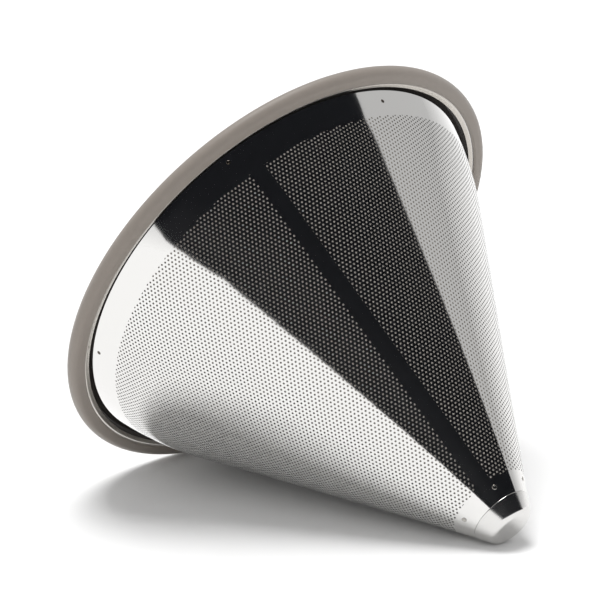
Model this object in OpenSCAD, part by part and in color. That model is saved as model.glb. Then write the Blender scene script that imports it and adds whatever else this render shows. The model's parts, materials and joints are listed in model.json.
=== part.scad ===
// Conical pour over coffee dripper, lying on its side.
//
// Every piece is drawn round its own axis: s = 0 is the middle of the silicone
// ring, s grows towards the tip, and r is the distance from the axis. "lie"
// then lays the whole dripper on the table, on the ring and on the tip cap.
// All sizes are in millimetres.

/* [Filter cone] */
// Outer radius the straight wall would reach at the middle of the ring
cone_r0 = 59.36; // [50:0.01:70]
// Half angle of the straight wall, degrees
cone_half = 30.63; // [25:0.01:35]
// Distance from the ring at which the wall starts to bend inwards
bend_s = 18.9; // [10:0.1:30]
// Radius of that bend, seen in section
bend_r = 86; // [60:1:120]
// Half angle of the wall at its top edge, degrees
top_half = 17; // [10:0.5:28]
// Thickness of the outer perforated sheet
film_t = 0.3; // [0.2:0.05:0.6]
// Distance from the ring at which the outer sheet ends and the cap begins
seam_s = 87.18; // [80:0.01:90]

/* [Inner mesh] */
// Thickness of the woven mesh cone
mesh_t = 0.24; // [0.1:0.02:0.4]
// Play between the two layers
layer_gap = 0.04; // [0.01:0.01:0.1]
// Distance from the ring at which the mesh ends, under the cap
mesh_end_s = 89.0; // [88:0.1:90]

/* [Seams] */
// Direction of both seams round the axis, degrees
seam_az = 39; // [0:1:360]
// Width of the weld bead on the outer sheet
bead_w = 1.0; // [0.5:0.1:3]
// Height of the weld bead
bead_h = 0.08; // [0.04:0.01:0.2]
// Width of the lap strip of the mesh
lap_w = 3.0; // [2:0.5:6]
// Thickness of the lap strip
lap_t = 0.14; // [0.1:0.01:0.3]

/* [Rim ring] */
// Sheet thickness of the stamped rim ring
rim_t = 0.6; // [0.4:0.1:1]
// Thickness of the skirt inside the mesh
skirt_t = 0.5; // [0.3:0.1:1]
// Half angle of the wall where the skirt ends, degrees
skirt_half = 22.4; // [19:0.1:26]
// Level of the groove floor round the cone
groove_s = -1.2; // [-1.25:0.05:0]
// Inner radius of the raised flange
flange_r_in = 57.8; // [57:0.1:59]
// Outer radius of the raised flange
flange_r_out = 61.3; // [60:0.1:62]
// Level of the face of the raised flange
flange_s = 0.95; // [0.5:0.05:1.5]
// Radius of the crest of the bead along the flange's inner edge
crest_r = 58.9; // [58:0.05:59.1]
// Level of that crest
crest_s = 1.45; // [1:0.05:1.8]
// Width of the bead outside its crest
crest_w = 0.35; // [0.2:0.05:0.4]

/* [Silicone ring] */
// Outer radius
ring_r = 63; // [60:0.5:66]
// Radius of the rounded outer edge, half the thickness of the ring
ring_edge = 1.89; // [1:0.01:3]
// Inner radius of the lip on the tip side
lip_r = 59.3; // [58:0.1:60]
// Level of the lip at its thin inner edge
lip_s = 1.67; // [1.1:0.01:1.9]
// Inner radius of the flat part of the lip, the seat
seat_r = 59.8; // [59:0.1:61]
// Inner radius on the back
back_r = 58.7; // [58.4:0.1:60]

/* [Tip] */
// Level of the end face of the cap
cap_s = 91.35; // [90:0.05:94]
// Rounding of the cap's outer edge
cap_edge = 1.89; // [0.5:0.01:3]
// How far the cap stands proud of the outer sheet, measured outwards from the axis
cap_proud = 0.19; // [0.05:0.01:0.5]
// Sheet thickness of the cap
cap_t = 0.48; // [0.3:0.01:0.6]
// Thickness of the cup inside the tip
cup_t = 0.5; // [0.3:0.1:1]
// Level of the upper edge of that cup
cup_top_s = 82.6; // [80:0.1:85]
// Level of the face of its floor
cup_floor_s = 88.2; // [86:0.1:88.5]

/* [Spot welds] */
// Directions of the upper welds, degrees
upper_az = [178.03, -136.55, -74.36, -12.5, 51.7, 115.9];
// Distances of the upper welds from the ring
upper_s = [3.16, 1.95, 1.87, 2.4, 2.1, 2.3];
// Radius of an upper weld
upper_r = 0.5; // [0.3:0.05:1]
// Directions of the lower welds, degrees
lower_az = [-148.86, -80.96, -23.8, 33.3, 90.5, 147.64];
// Distance of the lower welds from the ring
lower_s = 84.5; // [83.5:0.1:86]
// Radius of a lower weld
lower_r = 0.6; // [0.4:0.05:1.2]
// Height of a weld
weld_h = 0.1; // [0.04:0.01:0.2]

/* [Hidden] */
$fn = 96;
tiny = 0.01;
bend_steps = 6;
// centre of the bend of the outer surface
bend_c_r = cone_r0 - bend_s * tan(cone_half) - bend_r * cos(cone_half);
bend_c_s = bend_s - bend_r * sin(cone_half);
// point of the wall surface that lies d below the outer one, at wall angle q
function bend_pt(q, d) = [bend_c_r + (bend_r - d) * cos(q), bend_c_s + (bend_r - d) * sin(q)];
// radius of the straight wall at level s, d below the outer surface
function wall_r(s, d) = cone_r0 - s * tan(cone_half) - d / cos(cone_half);
// wall angle at step i of the bend, from angle q0 at i = 0
function step_q(q0, i) = q0 + (cone_half - q0) * i / bend_steps;
// slices of the same bend that start at the steps of the whole bend
function bend_line(d) = [for (i = [0:bend_steps]) bend_pt(step_q(top_half, i), d)];
// layers, as depths below the outer surface
mesh_d = film_t + layer_gap;
inner_d = mesh_d + mesh_t + 0.02;
cap_d = cap_t - cap_proud * cos(cone_half);
// middle of the rounded edge of the cap
cap_c_s = cap_s - cap_edge;
cap_c_r = cone_r0 + cap_proud - (cap_edge + sin(cone_half) * cap_c_s) / cos(cone_half);
// tilt of the axis when the ring and the cap both touch the table
ring_c_r = ring_r - ring_edge;
tilt = atan((ring_c_r - cap_c_r) / cap_c_s);
ring_z = ring_c_r * cos(tilt) + ring_edge;
x_min = -ring_c_r * sin(tilt) - ring_edge;
x_max = cap_c_s * cos(tilt) + cap_c_r * sin(tilt) + cap_edge;
steel = [0.78, 0.78, 0.79];
mesh_grey = [0.62, 0.62, 0.62];
taupe = [0.49, 0.46, 0.43];

// lays the dripper on the table
module lie() {
    translate([-(x_min + x_max) / 2, 0, ring_z]) rotate([0, 90 + tilt, 0]) children();
}

// a shell of the wall between two depths, from the top edge to level s_end
module wall_shell(d_out, d_in, s_end) {
    rotate_extrude()
        polygon(concat(
            bend_line(d_out),
            [[wall_r(s_end, d_out), s_end], [wall_r(s_end, d_in), s_end]],
            [for (i = [bend_steps:-1:0]) bend_line(d_in)[i]]
        ));
}

module outer_cone() {
    color(steel) lie() wall_shell(0, film_t, seam_s - 0.04);
}

// weld bead along the joint of the outer sheet
module outer_seam() {
    color(steel) lie() intersection() {
        wall_shell(-bead_h - tiny, -tiny, seam_s - 1.5);
        rotate([0, 0, seam_az]) translate([0, -bead_w / 2, 1.5]) cube([80, bead_w, 100]);
    }
}

module mesh_cone() {
    color(mesh_grey) lie() wall_shell(mesh_d, mesh_d + mesh_t, mesh_end_s);
}

// lap strip that closes the mesh, between the rim ring's skirt and the tip cup
module mesh_seam() {
    color(mesh_grey) lie() intersection() {
        wall_shell(inner_d, inner_d + lap_t, mesh_end_s);
        rotate([0, 0, seam_az]) translate([0, -lap_w / 2, 8.2]) cube([80, lap_w, cup_top_s - 8.2 - 0.3]);
    }
}

// stamped ring: skirt inside the mesh, groove round the cone, raised flange with a bead
module rim_ring() {
    n = 3;
    low = 0.6; // extra depth of the inside of the groove floor
    color(steel) lie() rotate_extrude()
        polygon(concat(
            [for (i = [n:-1:0]) bend_pt(top_half + (skirt_half - top_half) * i / n, inner_d + 0.05)],
            [[bend_pt(top_half, inner_d)[0], groove_s],
             [flange_r_in, groove_s], [flange_r_in, flange_s], [crest_r, crest_s],
             [crest_r + crest_w, crest_s - crest_w], [crest_r + crest_w, flange_s],
             [flange_r_out, flange_s], [flange_r_out, flange_s - rim_t],
             [flange_r_in + rim_t, flange_s - rim_t], [flange_r_in + rim_t, groove_s - rim_t],
             [bend_pt(top_half, inner_d + low)[0], groove_s - rim_t]],
            [for (i = [0:n]) bend_pt(top_half + (skirt_half - top_half) * i / n, inner_d + 0.05 + skirt_t)]
        ));
}

// soft ring with a slot, stretched over the flange
module silicone_ring() {
    play = 0.02;
    color(taupe) lie() rotate_extrude()
        difference() {
            union() {
                translate([ring_c_r, 0]) circle(r = ring_edge);
                polygon([[back_r, -ring_edge], [ring_c_r, -ring_edge], [ring_c_r, ring_edge],
                         [seat_r, ring_edge], [lip_r, lip_s], [lip_r, 0.2], [back_r, 0.2]]);
            }
            translate([back_r - 2, flange_s - rim_t - play])
                square([flange_r_out + play - back_r + 2, rim_t + 2 * play]);
        }
}

// drawn cap over the end of the mesh, flush with the outer sheet
module tip_cap() {
    out_r = cone_r0 + cap_proud;
    rim_out = out_r - seam_s * tan(cone_half);
    rim_in = wall_r(seam_s, cap_d);
    tan_s = cap_c_s + cap_edge * sin(cone_half);
    tan_r = cap_c_r + cap_edge * cos(cone_half);
    in_edge = cap_edge - cap_t;
    color(steel) lie() rotate_extrude()
        difference() {
            union() {
                polygon([[0, seam_s], [rim_out, seam_s], [tan_r, tan_s], [cap_c_r, cap_c_s], [cap_c_r, cap_s], [0, cap_s]]);
                intersection() {
                    translate([cap_c_r, cap_c_s]) circle(r = cap_edge);
                    translate([0, cap_c_s - 1]) square([20, 10]);
                }
            }
            polygon([[0, seam_s - 1], [wall_r(seam_s - 1, cap_d), seam_s - 1], [rim_in, seam_s],
                     [cap_c_r + in_edge * cos(cone_half), cap_c_s + in_edge * sin(cone_half)],
                     [cap_c_r, cap_c_s], [cap_c_r, cap_s - cap_t], [0, cap_s - cap_t]]);
            intersection() {
                translate([cap_c_r, cap_c_s]) circle(r = in_edge);
                translate([cap_c_r, cap_c_s]) square([20, 10]);
            }
        }
}

// drawn cup that holds the end of the mesh from inside
module tip_cup() {
    floor_out = wall_r(cup_floor_s + cup_t, inner_d);
    color(steel) lie() rotate_extrude()
        polygon([[wall_r(cup_top_s, inner_d), cup_top_s], [floor_out, cup_floor_s + cup_t],
                 [0, cup_floor_s + cup_t], [0, cup_floor_s],
                 [wall_r(cup_floor_s, inner_d + cup_t), cup_floor_s],
                 [wall_r(cup_top_s, inner_d + cup_t), cup_top_s]]);
}

// one weld: a low disc that follows the wall, at direction az and level s
module weld(az, s, r, wall_q, wall_pt_r) {
    rotate([0, 0, az]) translate([wall_pt_r, 0, s]) rotate([0, 90 - wall_q, 0])
        translate([0, 0, -1]) cylinder(r = r, h = 2);
}

// the six welds that join both layers to the rim ring's skirt
module upper_spot_welds() {
    color(steel) lie() for (i = [0:len(upper_az) - 1]) {
        q = asin((upper_s[i] - bend_c_s) / bend_r);
        intersection() {
            wall_shell(-weld_h - tiny, -tiny, 30);
            weld(upper_az[i], upper_s[i], upper_r, q, bend_pt(q, 0)[0]);
        }
    }
}

// the six welds that join both layers to the tip cup
module lower_spot_welds() {
    color(steel) lie() for (az = lower_az) intersection() {
        wall_shell(-weld_h - tiny, -tiny, seam_s - 0.5);
        weld(az, lower_s, lower_r, cone_half, wall_r(lower_s, 0));
    }
}

outer_cone();
outer_seam();
mesh_cone();
mesh_seam();
rim_ring();
silicone_ring();
tip_cap();
tip_cup();
upper_spot_welds();
lower_spot_welds();
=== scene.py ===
"""A conical pour over dripper of stainless steel, lying on its side on a white table.

The sections follow the order in which the dripper is put together: woven mesh cone and its lap strip,
perforated cone and its weld bead, rim ring, tip cup, spot welds, tip cap, and the silicone ring last.
A piece is drawn in millimetres round its own axis, with the level growing towards the tip, and
lay_down() then puts it in the frame, in metres.
"""

import json
import math

import bpy
from mathutils import Matrix, Vector


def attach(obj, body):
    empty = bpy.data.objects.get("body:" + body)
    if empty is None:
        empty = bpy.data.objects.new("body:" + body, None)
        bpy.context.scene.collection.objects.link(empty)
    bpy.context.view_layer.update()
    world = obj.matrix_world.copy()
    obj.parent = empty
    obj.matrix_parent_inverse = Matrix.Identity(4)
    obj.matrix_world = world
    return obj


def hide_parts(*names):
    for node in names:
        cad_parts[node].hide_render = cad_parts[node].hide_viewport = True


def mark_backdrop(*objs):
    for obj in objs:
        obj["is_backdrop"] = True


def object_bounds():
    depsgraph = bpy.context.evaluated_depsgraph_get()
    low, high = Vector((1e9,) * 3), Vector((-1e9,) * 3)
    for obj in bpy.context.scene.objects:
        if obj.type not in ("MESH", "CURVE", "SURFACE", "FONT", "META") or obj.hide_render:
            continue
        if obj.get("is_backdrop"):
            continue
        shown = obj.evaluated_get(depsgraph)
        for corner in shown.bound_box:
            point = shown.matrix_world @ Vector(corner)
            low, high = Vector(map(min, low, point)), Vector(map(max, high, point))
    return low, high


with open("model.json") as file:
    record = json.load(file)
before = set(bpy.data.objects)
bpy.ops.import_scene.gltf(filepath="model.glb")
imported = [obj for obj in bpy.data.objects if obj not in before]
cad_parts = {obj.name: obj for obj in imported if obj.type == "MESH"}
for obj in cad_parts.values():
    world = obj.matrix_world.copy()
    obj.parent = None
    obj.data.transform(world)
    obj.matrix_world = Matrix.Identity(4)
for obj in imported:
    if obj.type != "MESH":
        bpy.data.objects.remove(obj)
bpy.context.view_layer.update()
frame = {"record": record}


# ------------------------------------------------------------------------- woven mesh cone
# The filter itself: a flat sector of fine stainless wire cloth, rolled into a cone. It lies just
# under the perforated cone, shows through its holes, and is all that is seen through the mouth.

HALF_ANGLE = math.radians(30.63)
WALL_R0 = 59.36
BEND_LEVEL = 18.9
BEND_R = 86.0
APEX_LEVEL = WALL_R0 / math.tan(HALF_ANGLE)
BEND_SLANT = (APEX_LEVEL - BEND_LEVEL) / math.cos(HALF_ANGLE)
BEND_CENTRE = (
    WALL_R0 - BEND_LEVEL * math.tan(HALF_ANGLE) - BEND_R * math.cos(HALF_ANGLE),
    BEND_LEVEL - BEND_R * math.sin(HALF_ANGLE),
)
FRONT_AZIMUTH = math.radians(-141.36)
SEAM_TURN = math.pi * math.sin(HALF_ANGLE)


def slant_at(wall_angle):
    """Distance from the apex, along the wall, at which the bent wall has this half angle."""
    return BEND_SLANT + BEND_R * (HALF_ANGLE - wall_angle)


def slant_of(level):
    """Distance from the apex, along the straight wall, of a level."""
    return (APEX_LEVEL - level) / math.cos(HALF_ANGLE)


def wall(slant, depth=0.0):
    """(radius, level, wall angle) of the wall at that slant, depth under the outer face."""
    angle = HALF_ANGLE - max(slant - BEND_SLANT, 0.0) / BEND_R
    tail = BEND_SLANT - min(slant, BEND_SLANT)
    radius = BEND_CENTRE[0] + (BEND_R - depth) * math.cos(angle) - tail * math.sin(HALF_ANGLE)
    level = BEND_CENTRE[1] + (BEND_R - depth) * math.sin(angle) + tail * math.cos(HALF_ANGLE)
    return radius, level, angle


def on_wall(slant, turn, depth=0.0):
    """The point of the rolled sheet that the flat sheet has at that slant and turn from its middle."""
    radius, level, _ = wall(slant, depth)
    azimuth = FRONT_AZIMUTH - turn / math.sin(HALF_ANGLE)
    return radius * math.cos(azimuth), radius * math.sin(azimuth), level


TIP_MOUNT = next(m for m in frame["record"]["mounts"] if m["name"] == "tip_face")
AXIS = Vector(TIP_MOUNT["axis"]).normalized()
TIP_LEVEL = 91.35
LEAN = math.asin(-AXIS.z)
LIE = (
    Matrix.Translation(Vector(TIP_MOUNT["pos_m"]) - AXIS * TIP_LEVEL / 1000)
    @ Matrix.Rotation(math.pi / 2 + LEAN, 4, "Y")
    @ Matrix.Scale(0.001, 4)
)


def in_scene(name, data):
    """A new object for a mesh, a lamp or a camera, linked into the scene."""
    made = bpy.data.objects.new(name, data)
    bpy.context.collection.objects.link(made)
    return made


def lay_down(name, points, faces, flat=None, crease=35):
    """A finished piece from points in mm: smooth, creased at its edges, laid in the frame in metres."""
    mesh = bpy.data.meshes.new(name)
    mesh.from_pydata(points, [], faces)
    if flat:
        layer = mesh.uv_layers.new(name="flat")
        for loop in mesh.loops:
            layer.data[loop.index].uv = flat[loop.vertex_index]
    mesh.shade_smooth()
    mesh.set_sharp_from_angle(angle=math.radians(crease))
    mesh.transform(LIE)
    return in_scene(name, mesh)


def rolled(name, slants, turns, outer, inner):
    """A strip or sector of sheet rolled round the cone. turns(slant) gives the turns across it, and
    outer(slant, share) its outer depth, where share runs from -1 to 1 across the strip."""
    across = len(turns(slants[0]))
    points, flat = [], []
    for face in ("out", "in"):
        for slant in slants:
            for k, turn in enumerate(turns(slant)):
                share = 2 * k / (across - 1) - 1
                points.append(on_wall(slant, turn, outer(slant, share) if face == "out" else inner))
                flat.append((slant * math.sin(turn), slant * math.cos(turn)))
    rows, half = len(slants), len(slants) * across
    faces = []
    for i in range(rows - 1):
        for k in range(across - 1):
            a, b = i * across + k, (i + 1) * across + k
            faces.append((a, a + 1, b + 1, b))
            faces.append((half + a, half + b, half + b + 1, half + a + 1))
    last = (rows - 1) * across
    for k in range(across - 1):
        faces.append((k + 1, k, half + k, half + k + 1))
        faces.append((last + k, last + k + 1, half + last + k + 1, half + last + k))
    for i in range(rows - 1):
        a, b = i * across, (i + 1) * across
        faces.append((a, b, half + b, half + a))
        a, b = a + across - 1, b + across - 1
        faces.append((b, a, half + a, half + b))
    return lay_down(name, points, faces, flat)


def spaced(first, last, steps):
    """Evenly spaced values from first to last, both included."""
    return [first + (last - first) * i / steps for i in range(steps + 1)]


def add(tree, kind, inputs=(), **settings):
    """Adds a node with its settings, and links or fills its inputs by place or by name."""
    node = tree.nodes.new(kind)
    for name, value in settings.items():
        setattr(node, name, value)
    for key, value in inputs.items() if isinstance(inputs, dict) else enumerate(inputs):
        if isinstance(value, bpy.types.NodeSocket):
            tree.links.new(value, node.inputs[key])
        elif value is not None:
            node.inputs[key].default_value = value
    return node


def linear(sheet_colour, alpha=1.0):
    """The linear colour of an sRGB hex value."""
    values = [int(sheet_colour[i : i + 2], 16) / 255 for i in (1, 3, 5)]
    return [v / 12.92 if v <= 0.04045 else ((v + 0.055) / 1.055) ** 2.4 for v in values] + [alpha]


def material(name, settings):
    """A new material, its tree and its principled shader, with the shader's plain settings."""
    made = bpy.data.materials.new(name)
    made.use_nodes = True
    tree = made.node_tree
    tree.nodes.clear()
    shader = add(tree, "ShaderNodeBsdfPrincipled", settings)
    add(tree, "ShaderNodeOutputMaterial", {"Surface": shader.outputs[0]})
    return made, tree, shader


# The cloth's real threads, 0.06 mm apart, are too fine to show, so they are drawn 0.30 mm apart.
THREAD_MM = 0.30

# The holes of the sheet behind the cloth, on the flat sector: pitch, size, the place of one hole,
# and how far from the apex they reach.
PITCH = 1.0
HOLE = 0.5
HOLE_AT = (1.9, 20.6)
HOLES_TO = 108.0


def hole_spots(tree, flat_at):
    """1 over the holes of the sheet behind the cloth, 0 elsewhere, fading at their edges."""
    cell = Vector((PITCH, PITCH * math.sqrt(3), 0))
    per_cell = (1 / cell.x, 1 / cell.y, 0)
    from_first = add(
        tree, "ShaderNodeVectorMath", [flat_at, (*HOLE_AT, 0)], operation="SUBTRACT"
    ).outputs[0]
    cells = add(tree, "ShaderNodeVectorMath", [from_first, per_cell], operation="MULTIPLY").outputs[0]
    gaps = []
    for shift in (0.5, 0.0):
        moved = add(tree, "ShaderNodeVectorMath", [cells, (shift, shift, 0)], operation="ADD").outputs[0]
        part = add(tree, "ShaderNodeVectorMath", [moved], operation="FRACTION").outputs[0]
        part = add(tree, "ShaderNodeVectorMath", [part, (0.5, 0.5, 0)], operation="SUBTRACT").outputs[0]
        gap = add(tree, "ShaderNodeVectorMath", [part, cell], operation="MULTIPLY").outputs[0]
        gaps.append(add(tree, "ShaderNodeVectorMath", [gap], operation="LENGTH").outputs["Value"])
    nearest = add(tree, "ShaderNodeMath", gaps, operation="MINIMUM").outputs[0]
    fade = {"From Min": 0.3 * HOLE, "From Max": 0.6 * HOLE, "To Min": 1.0, "To Max": 0.0}
    spots = add(tree, "ShaderNodeMapRange", {"Value": nearest, **fade})
    in_plane = add(tree, "ShaderNodeVectorMath", [flat_at, (1, 1, 0)], operation="MULTIPLY").outputs[0]
    slant = add(tree, "ShaderNodeVectorMath", [in_plane], operation="LENGTH").outputs["Value"]
    holed = add(tree, "ShaderNodeMath", [slant, HOLES_TO], operation="LESS_THAN").outputs[0]
    return add(tree, "ShaderNodeMath", [spots.outputs[0], holed], operation="MULTIPLY").outputs[0]


def wire_cloth(name, dark, light, metallic, roughness, lit_through=None):
    """Woven stainless wire, in two tones, with the wires' crossings as its colour and bump. The
    lit_through colour is painted over the holes behind it, as light that comes through them."""
    made, tree, shader = material(name, {"Metallic": metallic, "Roughness": roughness})
    flat_at = add(tree, "ShaderNodeUVMap", uv_map="flat").outputs[0]
    threads = add(tree, "ShaderNodeVectorMath", [flat_at, (math.pi / THREAD_MM,) * 3], operation="MULTIPLY")
    parts = add(tree, "ShaderNodeSeparateXYZ", [threads.outputs[0]]).outputs
    warp = add(tree, "ShaderNodeMath", [parts[0]], operation="SINE").outputs[0]
    weft = add(tree, "ShaderNodeMath", [parts[1]], operation="SINE").outputs[0]
    weave = add(tree, "ShaderNodeMath", [warp, weft], operation="MULTIPLY").outputs[0]
    tone = add(tree, "ShaderNodeMapRange", {"Value": weave, "From Min": -1.0, "From Max": 1.0})
    mixed = add(
        tree, "ShaderNodeMix", {0: tone.outputs[0], 6: linear(dark), 7: linear(light)}, data_type="RGBA"
    )
    if lit_through:
        over_hole = hole_spots(tree, flat_at)
        mixed = add(tree, "ShaderNodeMix",
                    {0: over_hole, 6: mixed.outputs[2], 7: linear(lit_through)}, data_type="RGBA")
    tree.links.new(mixed.outputs[2], shader.inputs["Base Color"])
    bump = add(tree, "ShaderNodeBump", {"Height": weave, "Distance": 0.00003, "Strength": 0.6})
    tree.links.new(bump.outputs[0], shader.inputs["Normal"])
    return made


# Two tones of the one cloth, as a lit and a shaded copy: a soft grey sheen where it is seen through the
# mouth, with painted light over the holes behind it, and a darker, duller face where it is seen through the
# holes, whose darker tone is painted shade.
cloth_inside = wire_cloth("wire_cloth_inside_painted_light", "#97948f", "#b8b5b0", 1.0, 0.42, lit_through="#e4e1dc")
cloth_outside = wire_cloth("wire_cloth_in_holes_painted_shade", "#6b6864", "#827e79", 0.3, 0.5)

MESH_DEPTH = 0.34
MESH_THICK = 0.24
TOP_ANGLE = math.radians(17)
TOP_SLANT = slant_at(TOP_ANGLE)
mesh_slants = spaced(slant_of(89.0), BEND_SLANT, 30) + spaced(BEND_SLANT, TOP_SLANT, 16)[1:]
mesh_cone = rolled(
    "woven_mesh_cone",
    mesh_slants,
    lambda slant: spaced(-SEAM_TURN, SEAM_TURN, 180),
    lambda slant, share: MESH_DEPTH,
    MESH_DEPTH + MESH_THICK,
)
mesh_cone.data.materials.append(cloth_outside)
mesh_cone.data.materials.append(cloth_inside)
# Faces that look towards the axis take the lit copy, and the outer faces, seen through the holes, take the
# copy with painted shade.
for face in mesh_cone.data.polygons:
    to_axis = AXIS.cross(face.center - LIE.translation).cross(AXIS)
    face.material_index = int(face.normal.dot(to_axis) < 0)
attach(mesh_cone, "root")
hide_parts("mesh_cone")


# ------------------------------------------------------------------------- lap strip
# A narrow strip of the same cloth, spot welded over the butt joint inside the cone, from the
# rim ring's skirt down to the tip cup.

LAP_W = 3.0
LAP_T = 0.14
INNER_DEPTH = 0.60
lap_slants = spaced(slant_of(82.3), BEND_SLANT, 24) + spaced(BEND_SLANT, slant_at(math.radians(22.6)), 6)[1:]
mesh_lap = rolled(
    "mesh_lap_strip",
    lap_slants,
    lambda slant: [SEAM_TURN + x / slant for x in spaced(-LAP_W / 2, LAP_W / 2, 6)],
    lambda slant, share: INNER_DEPTH,
    INNER_DEPTH + LAP_T,
)
mesh_lap.data.materials.append(cloth_inside)
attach(mesh_lap, "root")
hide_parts("mesh_seam")


# ------------------------------------------------------------------------- perforated cone
# Stainless sheet 0.3 mm thick, etched flat with round holes in rows, polished almost to a mirror
# and rolled into the cone. Holes stop at a plain band along each edge and at a plain strip
# down its middle, and those at a border are cut off by it.

SHEET_T = 0.3
PANELS = 8
ROWS = 140
COLUMNS = 234
ROW_STEP = math.sin(math.pi / 3)
KNOWN_COLUMN = 117
KNOWN_ROW = 28
FIRST_HOLE = (HOLE_AT[0] - KNOWN_COLUMN * PITCH, HOLE_AT[1] - KNOWN_ROW * PITCH * ROW_STEP, 0.0)

sheet = bpy.data.node_groups.new("etched_sheet", "GeometryNodeTree")


def inputs_of(tree, **sizes):
    """Named inputs for a tree, from their default values, and the sockets that they feed."""
    tree.interface.new_socket("Geometry", in_out="OUTPUT", socket_type="NodeSocketGeometry")
    tree.interface.new_socket("Geometry", in_out="INPUT", socket_type="NodeSocketGeometry")
    kinds = {float: "NodeSocketFloat", int: "NodeSocketInt", tuple: "NodeSocketVector"}
    for name, value in sizes.items():
        made = tree.interface.new_socket(name, in_out="INPUT", socket_type=kinds[type(value)])
        made.default_value = value
    outputs = add(tree, "NodeGroupInput").outputs
    return {s.name: s for s in outputs if s.name}


def grown(name, tree, host=None, **values):
    """The plain mesh that a tree makes with these input values, as a new piece."""
    host = host or bpy.data.objects.new(name + "_host", bpy.data.meshes.new(name))
    bpy.context.collection.objects.link(host)
    modifier = host.modifiers.new(name, "NODES")
    modifier.node_group = tree
    for item in tree.interface.items_tree:
        if item.in_out == "INPUT" and item.name in values:
            modifier[item.identifier] = values[item.name]
    made = bpy.data.meshes.new_from_object(host.evaluated_get(bpy.context.evaluated_depsgraph_get()))
    bpy.data.objects.remove(host)
    made.name = name
    return in_scene(name, made)


def joined(tree, how, tests):
    """One yes or no from tests of (value, limit, comparison), joined by AND or OR."""
    answer = None
    for value, limit, kind in tests:
        test = add(tree, "FunctionNodeCompare", [value, limit], operation=kind).outputs[0]
        if answer is not None:
            test = add(tree, "FunctionNodeBooleanMath", [answer, test], operation=how).outputs[0]
        answer = test
    return answer


size = inputs_of(
    sheet, pitch=PITCH, hole=HOLE, thickness=SHEET_T, rows=ROWS, columns=COLUMNS, first_hole=FIRST_HOLE,
    lower_edge=slant_of(87.14), upper_edge=TOP_SLANT, lower_holes=20.2, upper_holes=HOLES_TO,
    strip_left=-2.41, strip_right=1.48, seam_turn=SEAM_TURN, seam_margin=2.0, sliver=0.12,
    turn_from=-1.0, turn_to=1.0,
)

# one hexagonal cell of the pattern, flat, with a twelve-sided hole
ring = add(sheet, "GeometryNodeMeshCircle", {"Vertices": 12})
tree_pos = add(sheet, "GeometryNodeInputPosition").outputs[0]
hole_r = add(sheet, "ShaderNodeMath", [size["hole"], 0.5], operation="MULTIPLY").outputs[0]
sheet.links.new(hole_r, ring.inputs["Radius"])
spread = add(sheet, "GeometryNodeExtrudeMesh", {"Mesh": ring.outputs[0], "Offset Scale": 0.0}, mode="EDGES")
xyz = add(sheet, "ShaderNodeSeparateXYZ", [tree_pos]).outputs
around = add(sheet, "ShaderNodeMath", [xyz[1], xyz[0]], operation="ARCTAN2").outputs[0]
sixths = add(sheet, "ShaderNodeMath", [around, 3 / math.pi, 0.25], operation="MULTIPLY_ADD").outputs[0]
whole = add(sheet, "ShaderNodeMath", [sixths], operation="FLOOR").outputs[0]
corner_at = add(
    sheet, "ShaderNodeMath", [whole, math.pi / 3, math.pi / 6], operation="MULTIPLY_ADD"
).outputs[0]
corner_x = add(sheet, "ShaderNodeMath", [corner_at], operation="COSINE").outputs[0]
corner_y = add(sheet, "ShaderNodeMath", [corner_at], operation="SINE").outputs[0]
corner = add(sheet, "ShaderNodeCombineXYZ", [corner_x, corner_y]).outputs[0]
cell_r = add(sheet, "ShaderNodeMath", [size["pitch"], math.sqrt(3)], operation="DIVIDE").outputs[0]
corner = add(sheet, "ShaderNodeVectorMath", {0: corner, "Scale": cell_r}, operation="SCALE").outputs[0]
cell = add(sheet, "GeometryNodeSetPosition",
           {"Geometry": spread.outputs["Mesh"], "Selection": spread.outputs["Top"], "Position": corner})
cell = add(sheet, "GeometryNodeMergeByDistance", {"Geometry": cell.outputs[0], "Distance": 0.01})
from_middle = add(sheet, "ShaderNodeVectorMath", [tree_pos], operation="LENGTH").outputs["Value"]
near_hole = add(sheet, "ShaderNodeMath", [size["pitch"], 0.45], operation="MULTIPLY").outputs[0]
is_rim = add(sheet, "FunctionNodeCompare", [from_middle, near_hole], operation="LESS_THAN").outputs[0]
cell = add(sheet, "GeometryNodeStoreNamedAttribute",
           {"Geometry": cell.outputs[0], "Name": "hole_rim", "Value": is_rim}, data_type="BOOLEAN")
plain = add(sheet, "GeometryNodeMeshCircle", {"Vertices": 6, "Radius": cell_r}, fill_type="TRIANGLE_FAN")
plain = add(sheet, "GeometryNodeTransform",
            {"Geometry": plain.outputs[0], "Rotation": (0, 0, math.pi / 6)})

# the lattice, and where each of its points lies on the flat sector
index = add(sheet, "GeometryNodeInputIndex").outputs[0]
row = add(sheet, "FunctionNodeIntegerMath", [index, size["columns"]], operation="DIVIDE_FLOOR").outputs[0]
column = add(sheet, "FunctionNodeIntegerMath", [index, size["columns"]], operation="MODULO").outputs[0]
odd = add(sheet, "FunctionNodeIntegerMath", [row, 2], operation="MODULO").outputs[0]
across = add(sheet, "ShaderNodeMath", [odd, 0.5, column], operation="MULTIPLY_ADD").outputs[0]
upward = add(sheet, "ShaderNodeMath", [row, ROW_STEP], operation="MULTIPLY").outputs[0]
steps = add(sheet, "ShaderNodeCombineXYZ", [across, upward]).outputs[0]
steps = add(sheet, "ShaderNodeVectorMath", {0: steps, "Scale": size["pitch"]}, operation="SCALE").outputs[0]
place = add(sheet, "ShaderNodeVectorMath", [steps, size["first_hole"]], operation="ADD").outputs[0]
count = add(
    sheet, "FunctionNodeIntegerMath", [size["rows"], size["columns"]], operation="MULTIPLY"
).outputs[0]
lattice = add(sheet, "GeometryNodePoints", {"Count": count, "Position": place})
slant = add(sheet, "ShaderNodeVectorMath", [tree_pos, (1, 1, 0)], operation="MULTIPLY").outputs[0]
slant = add(sheet, "ShaderNodeVectorMath", [slant], operation="LENGTH").outputs["Value"]
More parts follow.
